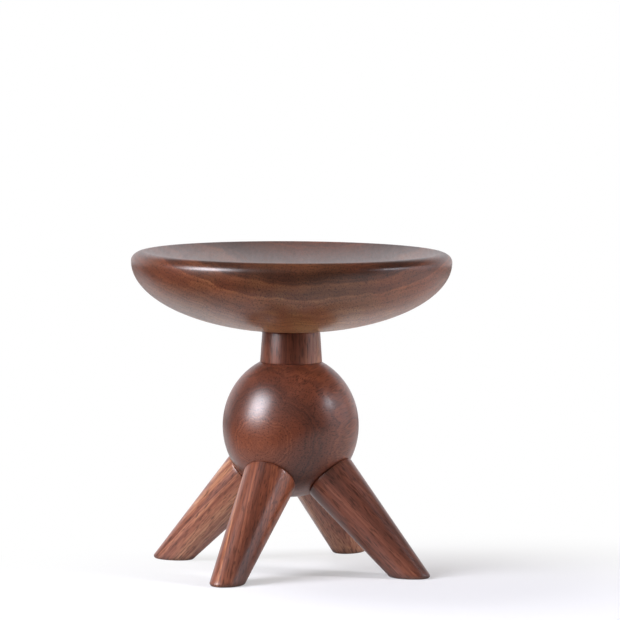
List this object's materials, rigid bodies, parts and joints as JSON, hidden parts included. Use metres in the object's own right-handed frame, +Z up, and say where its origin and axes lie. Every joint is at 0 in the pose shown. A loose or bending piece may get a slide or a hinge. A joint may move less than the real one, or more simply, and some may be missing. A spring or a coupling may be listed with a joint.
{
  "type": "wooden stool",
  "caption": "Low turned hardwood stool: a thick round dished seat on a short neck and a ball, standing on straight tapered legs splayed from the ball.",
  "frame": {"origin": "on the floor, under the centre of the seat", "axes": "+Z up along the axis of seat, neck and ball; -Y is the front, midway between the two front legs; +X to the right seen from the front"},
  "size_m": [0.4, 0.4, 0.3968],
  "materials": {
    "stool_wood": "oiled reddish-brown hardwood with a satin sheen",
    "dowel_wood": "plain pale hardwood, unfinished"
  },
  "bodies": {
    "root": {"seat": "stool_wood", "neck": "stool_wood", "ball": "stool_wood", "leg_front_left": "stool_wood", "leg_front_right": "stool_wood", "leg_rear_left": "stool_wood", "leg_rear_right": "stool_wood", "centre_dowel": "dowel_wood", "leg_dowel_front_left": "dowel_wood", "leg_dowel_front_right": "dowel_wood", "leg_dowel_rear_left": "dowel_wood", "leg_dowel_rear_right": "dowel_wood"}
  },
  "joints": []
}
